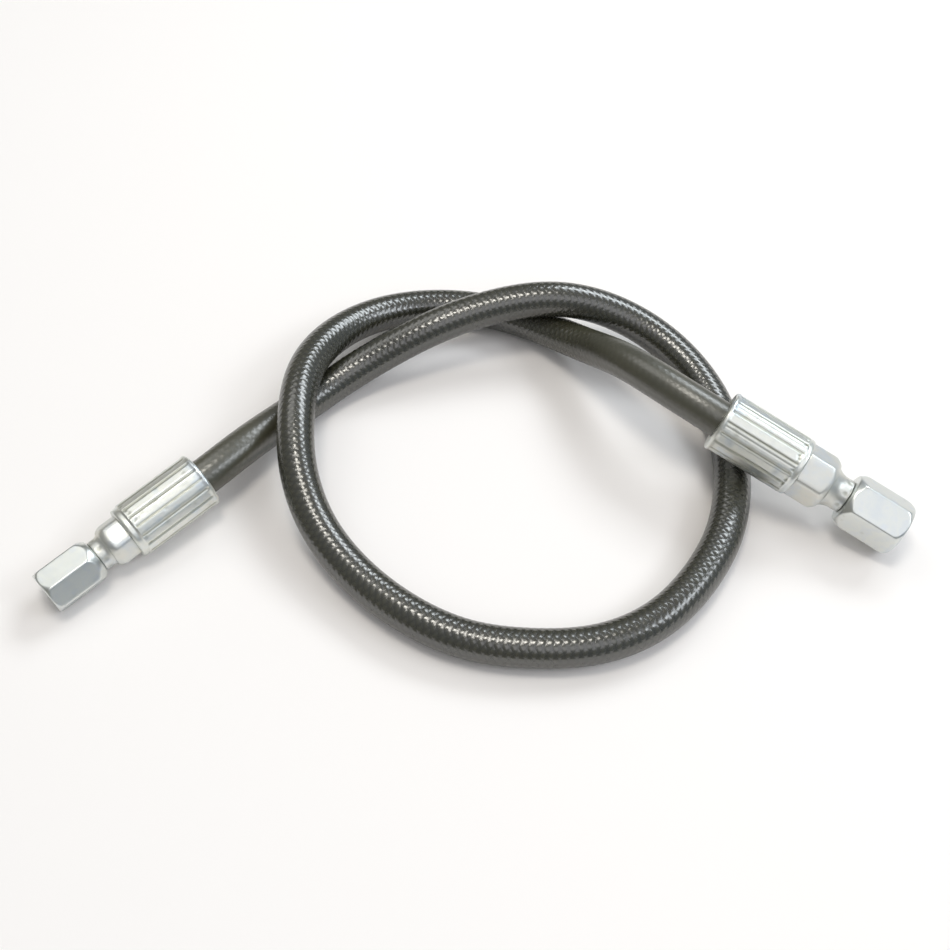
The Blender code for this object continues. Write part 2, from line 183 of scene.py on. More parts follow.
# Handling marks: seed_step gives each set random draws of its own.
FERRULE_DENTS = {"seed_step": 0, "count": 46, "size": 0.8 * MM, "depth": 0.16 * MM}
FERRULE_NICKS = {"seed_step": 20, "count": 26, "size": 0.45 * MM, "depth": 0.55 * MM}
STEM_DENTS = {"seed_step": 40, "count": 26, "size": 0.7 * MM, "depth": 0.10 * MM}
NUT_DENTS = {"seed_step": 60, "count": 18, "size": 0.6 * MM, "depth": 0.07 * MM}

# Degrees from the middle of a hexagon's face, closer together towards its corner at 30.
HEX_OFFSETS = (
    0, 2.2, 4.4, 6.6, 8.8, 11, 13.2, 15.4, 17.6, 19.8, 22, 24, 25.6, 27, 28.2, 29.2,
)

# Painted shade: a darker olive put into the zinc's creases, dents, dimples and thread grooves.
CREASE_SHADE_COLOUR = (0.27, 0.275, 0.20)
ZINC_FINISHES = {
    "ferrule_zinc": {
        "colours": ((0.69, 0.71, 0.69), (0.75, 0.76, 0.71), (0.64, 0.69, 0.72)),
        "turned_marks": 0.04 * MM, "marks": 0.03 * MM, "roughness": (0.32, 0.44),
    },
    "stem_zinc": {
        "colours": ((0.71, 0.70, 0.64), (0.68, 0.69, 0.66), (0.63, 0.67, 0.70)),
        "turned_marks": 0.04 * MM, "marks": 0.02 * MM, "roughness": (0.38, 0.48),
    },
    "nut_zinc": {
        "colours": ((0.64, 0.67, 0.67), (0.68, 0.70, 0.67), (0.61, 0.65, 0.69)),
        "turned_marks": 0.006 * MM, "marks": 0.002 * MM, "roughness": (0.30, 0.36),
    },
}

# ---- stage ----

CAMERA_PLACE = (-0.00139, -0.25090, 0.39302)
CAMERA_TILT = math.radians(35)  # from straight down
CAMERA_LENS = 47.37
FLOOR_REACH = 3.0
FLOOR_LEVEL = -0.1 * MM
FLOOR_SEEN = (0.965, 0.930, 0.910)
FLOOR_LIT = (0.40, 0.40, 0.39)  # what the floor throws back as diffuse light
LIGHT_TARGET = Vector((0, 0.02, 0.01))
LAMPS = (  # name, place, size, power, colour
    ("overhead_lamp", (-0.08, 0.06, 1.30), (0.34, 0.34), 4.2, (1.0, 0.96, 0.88)),
    ("left_lamp", (-0.62, 0.76, 1.25), (0.85, 0.70), 2.6, (1.0, 0.99, 0.96)),
    ("back_window", (0.74, 0.97, 1.13), (1.00, 0.44), 10.0, (0.90, 0.96, 1.0)),
    ("right_window", (1.15, -0.20, 1.05), (0.80, 0.42), 5.6, (0.90, 0.95, 1.0)),
    ("front_window", (0.30, -0.80, 1.30), (1.0, 0.9), 2.9, (0.97, 0.96, 1.0)),
)


def fitting_direction(fitting):
    """Unit vector from a fitting's mouth to its open end."""
    level = math.cos(fitting.pitch)
    return Vector((
        level * math.cos(fitting.heading),
        level * math.sin(fitting.heading),
        math.sin(fitting.pitch),
    ))


def fitting_matrix(fitting):
    """Place of a fitting: local +Z runs outwards from its mouth, local +X is its upper side."""
    outwards = fitting_direction(fitting)
    upper = (Vector((0, 0, 1)) - outwards * outwards.z).normalized()
    turn = Matrix((upper, outwards.cross(upper), outwards)).transposed().to_4x4()
    return Matrix.Translation(fitting.mouth) @ turn


def add_stations(fitting):
    """Work out where each feature lies along a fitting, from its mouth outwards."""
    fitting.shoulder_end = fitting.ferrule_length + fitting.shoulder_length
    fitting.socket_end = fitting.shoulder_end - SOCKET_WALL
    fitting.hex_start = fitting.shoulder_end + HEX_GAP
    fitting.hex_end = fitting.hex_start + fitting.hex_length
    fitting.nut_rear = fitting.hex_end + fitting.neck_length
    fitting.nut_front = fitting.nut_rear + fitting.nut_length
    fitting.lip_end = fitting.nut_rear + NUT_LIP
    fitting.nose_radius = fitting.minor_radius - 1.5 * SWIVEL_PLAY


# ---- small numeric helpers ----

def soft_min(a, b, softness):
    """Smaller of two values, with the switch between them rounded off."""
    share = np.clip(0.5 + 0.5 * (b - a) / softness, 0.0, 1.0)
    return b + (a - b) * share - softness * share * (1.0 - share)


def smooth_step(value, low, high):
    """Rise from 0 at the low value to 1 at the high one, level at both ends."""
    t = np.clip((value - low) / (high - low), 0.0, 1.0)
    return t * t * (3.0 - 2.0 * t)


def hex_radius(angles, across_flats, turn, softness):
    """Distance from the axis to a hexagon with rounded corners, at each angle."""
    sector = math.pi / 3
    offset = np.abs((angles - turn + sector / 2) % sector - sector / 2)
    nearest = across_flats / 2 / np.cos(offset)
    neighbour = across_flats / 2 / np.cos(sector - offset)
    return soft_min(nearest, neighbour, softness)


def smooth_route(points, start_direction, end_direction, step):
    """Evenly spaced points on the clamped cubic spline through the route's own points."""
    places = np.array([tuple(point) for point in points])
    steps = np.linalg.norm(np.diff(places, axis=0), axis=1)
    size = len(places)
    system = np.zeros((size, size))
    right = np.zeros((size, 3))
    system[0, 0] = system[-1, -1] = 1.0
    right[0] = start_direction
    right[-1] = end_direction
    for i in range(1, size - 1):
        before, after = steps[i - 1], steps[i]
        system[i, i - 1:i + 2] = (after, 2 * (before + after), before)
        right[i] = 3 * (
            after / before * (places[i] - places[i - 1])
            + before / after * (places[i + 1] - places[i])
        )
    slopes = np.linalg.solve(system, right)
    fine = []
    for i in range(size - 1):
        for t in np.linspace(0.0, 1.0, SPLINE_STEPS, endpoint=False):
            fine.append(
                (2 * t**3 - 3 * t**2 + 1) * places[i] + (3 * t**2 - 2 * t**3) * places[i + 1]
                + steps[i] * ((t**3 - 2 * t**2 + t) * slopes[i] + (t**3 - t**2) * slopes[i + 1])
            )
    fine.append(places[-1])
    fine = np.array(fine)
    along = np.concatenate(([0.0], np.cumsum(np.linalg.norm(np.diff(fine, axis=0), axis=1))))
    even = np.arange(0.0, along[-1] + step / 2, step) * along[-1] / (
        step * round(along[-1] / step)
    )
    return np.column_stack([np.interp(even, along, fine[:, k]) for k in range(3)])


def carried_frames(path):
    """Two directions across the path at each point, carried along it without twist."""
    tangents = np.gradient(path, axis=0)
    tangents /= np.linalg.norm(tangents, axis=1)[:, None]
    up = np.array([0.0, 0.0, 1.0])
    across = up - tangents[0] * (up @ tangents[0])
    normals = [across / np.linalg.norm(across)]
    for i in range(1, len(path)):
        normal = normals[-1] - tangents[i] * (normals[-1] @ tangents[i])
        normals.append(normal / np.linalg.norm(normal))
    normals = np.array(normals)
    return normals, np.cross(tangents, normals)


# ---- meshes ----

def grid_mesh(name, places, close_rows):
    """Closed mesh from a grid of places: columns join round, and rows join round or are capped."""
    rows, columns = places.shape[:2]
    last = rows if close_rows else rows - 1
    row = np.arange(last)[:, None]
    column = np.arange(columns)[None, :]
    next_row = (row + 1) % rows
    next_column = (column + 1) % columns
    faces = np.stack([
        row * columns + column,
        row * columns + next_column,
        next_row * columns + next_column,
        next_row * columns + column,
    ], axis=-1).reshape(-1, 4).tolist()
    if not close_rows:
        faces.append(list(range(columns)))
        faces.append(list(range((rows - 1) * columns, rows * columns)))
    mesh = bpy.data.meshes.new(name)
    mesh.from_pydata(places.reshape(-1, 3).tolist(), [], faces)
    return mesh


def turn_faces_out(mesh):
    """Make every face of a closed mesh look outwards."""
    shape = bmesh.new()
    shape.from_mesh(mesh)
    bmesh.ops.recalc_face_normals(shape, faces=shape.faces)
    shape.to_mesh(mesh)
    shape.free()


def store_values(mesh, name, values):
    """Keep one number for each vertex, for the material to read."""
    layer = mesh.attributes.new(name, "FLOAT", "POINT")
    layer.data.foreach_set("value", np.asarray(values, dtype=np.float32).ravel())


def link_piece(mesh, name, material, sharp_angle):
    """Object made from a mesh: smooth, apart from edges sharper than the angle in degrees."""
    mesh.materials.append(material)
    mesh.shade_smooth()
    mesh.set_sharp_from_angle(angle=math.radians(sharp_angle))
    piece = bpy.data.objects.new(name, mesh)
    bpy.context.scene.collection.objects.link(piece)
    return piece


def filleted(corners, sizes, steps=4):
    """Closed outline with its corners rounded, each over the given length in mm."""
    points = []
    count = len(corners)
    for i in range(count):
        corner = np.array(corners[i])
        before = np.array(corners[i - 1]) - corner
        after = np.array(corners[(i + 1) % count]) - corner
        size = sizes[i] * MM
        if size <= 0:
            points.append(corner)
            continue
        size = min(size, 0.45 * np.linalg.norm(before), 0.45 * np.linalg.norm(after))
        start = corner + before / np.linalg.norm(before) * size
        end = corner + after / np.linalg.norm(after) * size
        for t in np.linspace(0.0, 1.0, steps + 1):
            points.append((1 - t)**2 * start + 2 * t * (1 - t) * corner + t**2 * end)
    return np.array(points)


def subdivided(outline, step):
    """Closed outline with extra points, so that none are further apart than the step."""
    points = []
    for i, point in enumerate(outline):
        ahead = outline[(i + 1) % len(outline)]
        pieces = max(1, math.ceil(np.linalg.norm(ahead - point) / step))
        for k in range(pieces):
            points.append(point + (ahead - point) * k / pieces)
    return np.array(points)


def turned_grid(outline, angles, radii):
    """Places of a turned body, from its distance to the axis at each outline point and angle."""
    return np.stack([
        radii * np.cos(angles)[None, :],
        radii * np.sin(angles)[None, :],
        np.repeat(outline[:, 1:2], len(angles), axis=1),
    ], axis=-1)


def hex_angles(turn):
    """Angles round a hexagon, closer together at its corners."""
    offsets = sorted({-offset for offset in HEX_OFFSETS} | set(HEX_OFFSETS)) + [30]
    angles = [turn + math.radians(60 * side + offset) for side in range(6) for offset in offsets]
    return np.array(angles)


# ---- materials ----

def new_material(name):
    """New material, with its node tree and its Principled node."""
    material = bpy.data.materials.new(name)
    material.use_nodes = True
    tree = material.node_tree
    shader = tree.nodes["Principled BSDF"]
    return material, tree, shader


def add_node(tree, kind, **values):
    """New node with some of its properties set."""
    node = tree.nodes.new(kind)
    for key, value in values.items():
        setattr(node, key, value)
    return node


def noise(tree, vector, scale, detail=4.0, roughness=0.55, stretch=(1, 1, 1)):
    """Noise factor from a coordinate that may be stretched first."""
    mapping = add_node(tree, "ShaderNodeMapping")
    mapping.inputs["Scale"].default_value = stretch
    tree.links.new(vector, mapping.inputs["Vector"])
    texture = add_node(tree, "ShaderNodeTexNoise")
    texture.inputs["Scale"].default_value = scale
    texture.inputs["Detail"].default_value = detail
    texture.inputs["Roughness"].default_value = roughness
    tree.links.new(mapping.outputs["Vector"], texture.inputs["Vector"])
    return texture.outputs["Fac"]


def ramp(tree, factor, stops):
    """Colour ramp: stops are (position, colour)."""
    node = add_node(tree, "ShaderNodeValToRGB")
    elements = node.color_ramp.elements
    while len(elements) < len(stops):
        elements.new(0.5)
    for element, (position, colour) in zip(elements, stops):
        element.position = position
        element.color = (*colour, 1.0) if len(colour) == 3 else colour
    tree.links.new(factor, node.inputs["Fac"])
    return node.outputs["Color"]


def mix_colour(tree, factor, first, second, blend="MIX"):
    """Mix of two colours; each input is a number, a colour or another node's output."""
    node = add_node(tree, "ShaderNodeMix", data_type="RGBA", blend_type=blend)
    sockets = (node.inputs[0], node.inputs[6], node.inputs[7])
    for socket, value in zip(sockets, (factor, first, second)):
        if isinstance(value, (int, float)):
            socket.default_value = value
        elif isinstance(value, tuple):
            socket.default_value = (*value, 1.0)
        else:
            tree.links.new(value, socket)
    return node.outputs[2]


def arithmetic(tree, operation, first, second=None, third=None, clamp=False):
    """One step of arithmetic; each input is a number or another node's output."""
    node = add_node(tree, "ShaderNodeMath", operation=operation, use_clamp=clamp)
    for socket, value in zip(node.inputs, (first, second, third)):
        if value is None:
            continue
        if isinstance(value, (int, float)):
            socket.default_value = value
        else:
            tree.links.new(value, socket)
    return node.outputs[0]


def map_range(tree, value, low, high, new_low, new_high):
    """Value carried over evenly from one range to another, and held inside it."""
    node = add_node(tree, "ShaderNodeMapRange")
    tree.links.new(value, node.inputs["Value"])
    for key, number in (
        ("From Min", low), ("From Max", high), ("To Min", new_low), ("To Max", new_high),
    ):
        node.inputs[key].default_value = number
    return node.outputs["Result"]


def bump(tree, height, distance, strength=1.0, normal=None):
    """Normal that is tilted by a height, on top of another bump's normal if there is one."""
    node = add_node(tree, "ShaderNodeBump")
    node.inputs["Distance"].default_value = distance
    node.inputs["Strength"].default_value = strength
    tree.links.new(height, node.inputs["Height"])
    if normal is not None:
        tree.links.new(normal, node.inputs["Normal"])
    return node.outputs["Normal"]


def attribute(tree, name):
    """Output that reads a number stored on the mesh."""
    return add_node(tree, "ShaderNodeAttribute", attribute_name=name).outputs["Fac"]


def braid_nodes(tree):
    """The braid's height as shader nodes, from the map that runs along and round the hose."""
    place = add_node(tree, "ShaderNodeUVMap", uv_map="braid").outputs["UV"]
    split = add_node(tree, "ShaderNodeSeparateXYZ")
    tree.links.new(place, split.inputs[0])
    first = arithmetic(tree, "ADD", split.outputs["X"], split.outputs["Y"])
    second = arithmetic(tree, "SUBTRACT", split.outputs["X"], split.outputs["Y"])
    whole = arithmetic(
        tree, "ADD", arithmetic(tree, "FLOOR", first), arithmetic(tree, "FLOOR", second),
    )
    under = arithmetic(tree, "FLOORED_MODULO", whole, 2.0)
    first_share = arithmetic(tree, "FRACT", first)
    second_share = arithmetic(tree, "FRACT", second)
    swap = arithmetic(tree, "SUBTRACT", second_share, first_share)
    across = arithmetic(tree, "MULTIPLY_ADD", swap, under, first_share)
    lengthwise = arithmetic(
        tree, "SUBTRACT", arithmetic(tree, "ADD", first_share, second_share), across,
    )
    width = arithmetic(tree, "SINE", arithmetic(tree, "MULTIPLY", across, math.pi))
    width = arithmetic(tree, "POWER", arithmetic(tree, "MAXIMUM", width, 0.0), CROWN_WIDTH_POWER)
    run = arithmetic(tree, "SINE", arithmetic(tree, "MULTIPLY", lengthwise, math.pi))
    run = arithmetic(tree, "POWER", arithmetic(tree, "MAXIMUM", run, 0.0), CROWN_LENGTH_POWER)
    return arithmetic(tree, "MULTIPLY", width, run)


def hose_material():
    """Black rubber cover: polished on the braid's crowns, painted lighter there as a highlight and
    darker between them as shade; matte and paler near the fittings.
    """
    material, tree, shader = new_material("hose_cover")
    place = add_node(tree, "ShaderNodeTexCoord").outputs["Object"]
    relief = attribute(tree, "relief")
    crown = arithmetic(tree, "MULTIPLY", braid_nodes(tree), relief)
    dull = arithmetic(tree, "SUBTRACT", 1.0, relief, clamp=True)
    broad = noise(tree, place, scale=45.0, detail=3.0)
    scuffs = noise(tree, place, scale=260.0, detail=5.0, roughness=0.65)
    fine = noise(tree, place, scale=1500.0, detail=3.0, roughness=0.6)
    # Painted highlight on the braid's crowns and painted shade in its valleys.
    colour = mix_colour(tree, crown, VALLEY_SHADE_COLOUR, CROWN_HIGHLIGHT_COLOUR)
    colour = mix_colour(tree, dull, colour, DULL_COLOUR)
    tint = ramp(tree, broad, [(0.3, (0.86, 0.88, 0.92)), (0.7, (1.10, 1.06, 0.96))])
    colour = mix_colour(tree, 1.0, colour, tint, "MULTIPLY")
    tree.links.new(colour, shader.inputs["Base Color"])
    rough = arithmetic(tree, "MULTIPLY_ADD", crown, -0.08, 0.19)
    rough = arithmetic(tree, "MULTIPLY_ADD", scuffs, 0.16, rough)
    rough = arithmetic(tree, "MULTIPLY_ADD", dull, 0.20, rough)
    tree.links.new(rough, shader.inputs["Roughness"])
    normal = bump(tree, crown, BRAID_BUMP)
    normal = bump(tree, fine, distance=0.02 * MM, strength=0.5, normal=normal)
    tree.links.new(normal, shader.inputs["Normal"])
    shader.inputs["IOR"].default_value = 1.62
    shader.inputs["Specular IOR Level"].default_value = 1.0
    return material


def zinc_material(name, colours, turned_marks, marks, roughness):
    """Bright zinc plate: faint colour patches, handling marks and tool lines round the axis, with
    painted shade in its creases, dents and grooves.
    """
    material, tree, shader = new_material(name)
    place = add_node(tree, "ShaderNodeTexCoord").outputs["Object"]
    patches = noise(tree, place, scale=150.0, detail=3.0, roughness=0.5)
    cloud = noise(tree, place, scale=420.0, detail=4.0, roughness=0.6)
    grain = noise(tree, place, scale=2600.0, detail=2.0, roughness=0.6)
    rings = noise(
        tree, place, scale=700.0, detail=2.0, roughness=0.5, stretch=(0.05, 0.05, 6.0),
    )
    colour = ramp(tree, patches, list(zip((0.30, 0.50, 0.70), colours)))
    # Painted shade: creases, dents, dimples and thread grooves turn a darker olive.
    crease_and_shade = attribute(tree, "crease_and_shade")
    colour = mix_colour(tree, crease_and_shade, colour, CREASE_SHADE_COLOUR)
    tree.links.new(colour, shader.inputs["Base Color"])
    shader.inputs["Metallic"].default_value = 1.0
    rough = map_range(tree, cloud, 0.3, 0.7, roughness[0], roughness[1])
    rough = arithmetic(tree, "MULTIPLY_ADD", crease_and_shade, 0.25, rough)
    tree.links.new(rough, shader.inputs["Roughness"])
    normal = bump(tree, rings, distance=turned_marks, strength=0.7)
    normal = bump(tree, cloud, distance=marks, strength=0.4, normal=normal)
    normal = bump(tree, grain, distance=0.012 * MM, strength=0.8, normal=normal)
    tree.links.new(normal, shader.inputs["Normal"])
    return material


# ---- hose ----

def braid_height(along, angle):
    """Height of the braid under the cover, 0 to 1: short crowns slanting both ways in turn."""
    first = along / BRAID_PITCH + BRAID_STRANDS * angle / math.tau
    second = along / BRAID_PITCH - BRAID_STRANDS * angle / math.tau
    upper = (np.floor(first) + np.floor(second)) % 2 == 0
    first_share = first - np.floor(first)
    second_share = second - np.floor(second)
    across = np.where(upper, first_share, second_share)
    lengthwise = np.where(upper, second_share, first_share)
    width = np.sin(math.pi * across)**CROWN_WIDTH_POWER
    return width * np.sin(math.pi * lengthwise)**CROWN_LENGTH_POWER


def braid_share(distance, fade):
    """How strongly the braid shows at a distance from one end of the hose."""
    return fade.left + (1.0 - fade.left) * smooth_step(distance, fade.start, fade.end)


def map_braid(mesh, along):
    """Lay a map on the hose's mesh: pitches along it, and strands counted round it."""
    corners = np.empty(len(mesh.loops), dtype=np.int32)
    mesh.loops.foreach_get("vertex_index", corners)
    ring, column = np.divmod(corners, HOSE_SIDES)
    side_faces = 4 * (len(along) - 1) * HOSE_SIDES
    quads = column[:side_faces].reshape(-1, 4)
    seam = (quads.max(axis=1) == HOSE_SIDES - 1) & (quads.min(axis=1) == 0)
    quads = np.where(seam[:, None] & (quads == 0), HOSE_SIDES, quads)
    turns = np.concatenate([quads.ravel(), column[side_faces:]]) / HOSE_SIDES
    layer = mesh.uv_layers.new(name="braid")
    pairs = np.column_stack([along[ring] / BRAID_PITCH, turns * BRAID_STRANDS])
    layer.data.foreach_set("uv", pairs.astype(np.float32).ravel())


def make_hose(material):
    """Hose cover as one closed tube along the route, with the braid's relief in its surface."""
    out_a, out_b = fitting_direction(FITTING_A), fitting_direction(FITTING_B)
    step = BRAID_PITCH / RINGS_PER_PITCH
    middle = smooth_route(ROUTE, -out_a, out_b, step)
    inside = np.arange(INSIDE_FERRULE, step / 2, -step)
    start = middle[0] + np.array(out_a) * inside[:, None]
    end = middle[-1] + np.array(out_b) * inside[::-1, None]
    path = np.vstack([start, middle, end])
    normals, sides = carried_frames(path)
    along = np.arange(len(path)) * step
    angles = np.arange(HOSE_SIDES) * math.tau / HOSE_SIDES
    height = braid_height(along[:, None], angles[None, :])
    relief = braid_share(along[:, None], FADE_A) * braid_share(along[-1] - along[:, None], FADE_B)
    radius = HOSE_OD / 2 - BRAID_DEPTH * relief * (1.0 - height)
    places = path[:, None, :] + radius[:, :, None] * (
        np.cos(angles)[None, :, None] * normals[:, None, :]
        + np.sin(angles)[None, :, None] * sides[:, None, :]
    )
    mesh = grid_mesh("hose_cover", places, close_rows=False)
    map_braid(mesh, along)
    turn_faces_out(mesh)
    store_values(mesh, "relief", np.broadcast_to(relief, height.shape))
    hose = link_piece(mesh, "hose_cover", material, sharp_angle=80)
    return hose, path


# ---- fittings ----

def place_piece(mesh, name, fitting, material, sharp_angle=70):
    """Object made from a fitting's mesh and put where that fitting is."""
    piece = link_piece(mesh, name, material, sharp_angle)
    piece.matrix_world = fitting_matrix(fitting)
    return piece


def dents(places, fitting, low, high, radius, *, seed_step, count, size, depth):
    """Inward push of small handling dents scattered over a turned body, between two stations."""
    chooser = np.random.default_rng(fitting.seed + seed_step)
    push = np.zeros(places.shape[:2])
    for _ in range(count):
        angle = chooser.uniform(0, math.tau)
        centre = np.array([
            radius * math.cos(angle), radius * math.sin(angle), chooser.uniform(low, high),
        ])
        reach = size * chooser.uniform(0.5, 1.4)
        distance = np.linalg.norm(places - centre, axis=-1)
        push += depth * chooser.uniform(0.4, 1.0) * np.exp(-(distance / reach)**2)
    return push


def crimp_cut(fitting, angles):
    """How deep the crimp cuts into a ferrule at each angle, and where its creases are, which also
    marks where painted shade goes.
    """
    outer = fitting.ferrule_radius
    period = math.tau / FLUTES
    offset = (angles + period / 2) % period - period / 2
    from_rib = np.abs(offset)
    rib = outer - outer * math.cos(period / 2) / np.cos(from_rib)
    rib = rib - rib.min()
    crease_and_shade = np.exp(-((period / 2 - from_rib) * outer / CREASE_WIDTH)**2)
    # Plain sines of a rib's or crease's number make each a little different from the next.
    which = np.floor((angles + period / 2) / period) % FLUTES
    uneven = 0.7 + 0.3 * np.sin(2.4 * np.floor((angles / period) % FLUTES) + fitting.seed)
    cut = RIB_FLATNESS * rib + CREASE_DEPTH * crease_and_shade * uneven
    cut = cut + RIB_UNEVENNESS * (1 + np.sin(3.1 * which)) + RIB_DROP
    cut = cut + RIB_TILT * outer * offset * np.sin(4.7 * which + fitting.seed)
    chooser = np.random.default_rng(fitting.seed + EXTRA_CREASE_SEED)
    for _ in range(EXTRA_CREASES):
        place, strength = chooser.uniform(0, math.tau), chooser.uniform(0.25, 0.6)
        distance = np.abs((angles - place + math.pi) % math.tau - math.pi) * outer
        line = strength * np.exp(-(distance / EXTRA_CREASE_WIDTH)**2)
        cut = cut + 0.45 * CREASE_DEPTH * line
        crease_and_shade = np.maximum(crease_and_shade, 0.8 * line)
    return cut, crease_and_shade


def make_ferrule(fitting, material):
    """Crimped shell with its flutes, rounded rim, shoulder and die marks."""
    outer = fitting.ferrule_radius
    shoulder = outer - fitting.shoulder_step
    inner = HOSE_OD / 2 + HOSE_GAP
    hole = LOCK_RADIUS + LOCK_GAP
    corners = [
        (hole, fitting.shoulder_end),
        (shoulder, fitting.shoulder_end),
        (shoulder, fitting.ferrule_length + fitting.shoulder_step),
        (outer, fitting.ferrule_length),
        (outer, 0.0),
        (inner, 0.0),
        (inner, fitting.socket_end),
        (hole, fitting.socket_end),
    ]
    outline = subdivided(filleted(corners, FERRULE_FILLETS), FERRULE_STEP)
    columns = FLUTES * COLUMNS_PER_FLUTE
    angles = np.arange(columns) * math.tau / columns
    cut, crease_and_shade = crimp_cut(fitting, angles)
    z = outline[:, 1]
    end = fitting.ferrule_length
    crimped = smooth_step(z, *CRIMP_FADE_IN) * (1.0 - smooth_step(z - end, *CRIMP_FADE_OUT))
    crimped = crimped * (outline[:, 0] > shoulder - 0.2 * MM)
    radii = outline[:, 0:1] - crimped[:, None] * cut[None, :]
    places = turned_grid(outline, angles, radii)
    push = dents(places, fitting, 1.0 * MM, end, outer, **FERRULE_DENTS)
    push += dents(places, fitting, end - 1.5 * MM, end - 0.2 * MM, outer, **FERRULE_NICKS)
    outside = (outline[:, 0:1] > shoulder - 0.3 * MM).astype(float)
    places = turned_grid(outline, angles, radii - push * outside)
    mesh = grid_mesh("ferrule_" + fitting.side, places, close_rows=True)
    turn_faces_out(mesh)
    # The creases, dents and nicks are marked here for painted shade in the material.
    crease_and_shade = crimped[:, None] * crease_and_shade[None, :]
    crease_and_shade = np.clip(crease_and_shade * 0.6 + push / (0.5 * MM), 0, 1)
    store_values(mesh, "crease_and_shade", crease_and_shade)
    return place_piece(mesh, "crimped_ferrule_" + fitting.side, fitting, material)


def make_stem(fitting, material):
    """Stem beyond the ferrule's socket: hexagon, cone and neck, grooved nose and bore."""
    tip_radius = STEM_BORE / 2 + NOSE_TIP_WALL
    nose_low = fitting.lip_end + SWIVEL_PLAY
    nose_high = nose_low + NOSE_RIM
    tip = nose_high + (fitting.nose_radius - tip_radius) / math.tan(CONE_ANGLE)
    corner = fitting.hex_af / math.sqrt(3)
    cone = fitting.neck_radius + CONE_SPREAD * fitting.cone_length
    start = fitting.socket_end - STEM_REACH
    low = fitting.shoulder_end - HEX_SEAT
    corners = [
        (STEM_BORE / 2, tip),
        (tip_radius, tip),
        (fitting.nose_radius, nose_high),
        (fitting.nose_radius, nose_low),
        (fitting.groove_radius, nose_low),
        (fitting.groove_radius, fitting.nut_rear - STEM_GAP),
        (fitting.neck_radius, fitting.nut_rear - STEM_GAP),
        (fitting.neck_radius, fitting.hex_end + fitting.cone_length),
        (cone, fitting.hex_end),
        (corner - HEX_FRONT_INSET, fitting.hex_end),
        (corner, fitting.hex_end - HEX_FRONT_RUN),
        (corner, low + HEX_REAR_RUN),
        (corner - HEX_REAR_INSET, low),
        (LOCK_RADIUS, low),
        (LOCK_RADIUS, start),
        (STEM_BORE / 2, start),
    ]
    outline = subdivided(filleted(corners, STEM_FILLETS), STEM_STEP)
    angles = hex_angles(fitting.stem_turn)
    bar = hex_radius(angles, fitting.hex_af, fitting.stem_turn, fitting.stem_softness)
    z = outline[:, 1]
    on_hex = (z > low - 0.1 * MM) & (z < fitting.hex_end + 0.1 * MM)
    on_hex &= outline[:, 0] > LOCK_RADIUS + 0.3 * MM
    trimmed = soft_min(outline[:, 0:1], bar[None, :], fitting.stem_softness)
    radii = np.where(on_hex[:, None], trimmed, outline[:, 0:1])
    places = turned_grid(outline, angles, radii)
    push = dents(
        places, fitting, fitting.hex_start, fitting.nut_rear, fitting.neck_radius + 1.5 * MM,
        **STEM_DENTS,
    )
    outside = (outline[:, 0:1] > fitting.neck_radius - 0.1 * MM).astype(float)
    for index in range(NECK_DIMPLES):
        angle = fitting.stem_turn + index * math.tau / NECK_DIMPLES
        centre = np.array([
            fitting.neck_radius * math.cos(angle), fitting.neck_radius * math.sin(angle),
            fitting.nut_rear - DIMPLE_SETBACK,
        ])
        distance = np.linalg.norm(places - centre, axis=-1)
        push += DIMPLE_DEPTH * np.exp(-(distance / DIMPLE_RADIUS)**4)
    places = turned_grid(outline, angles, radii - push * outside)
    mesh = grid_mesh("stem_" + fitting.side, places, close_rows=True)
    turn_faces_out(mesh)
    # The dents and dimples are marked here for painted shade in the material.
    store_values(mesh, "crease_and_shade", np.clip(push * outside / (0.6 * MM), 0, 1))
    return place_piece(mesh, "hose_stem_" + fitting.side, fitting, material)


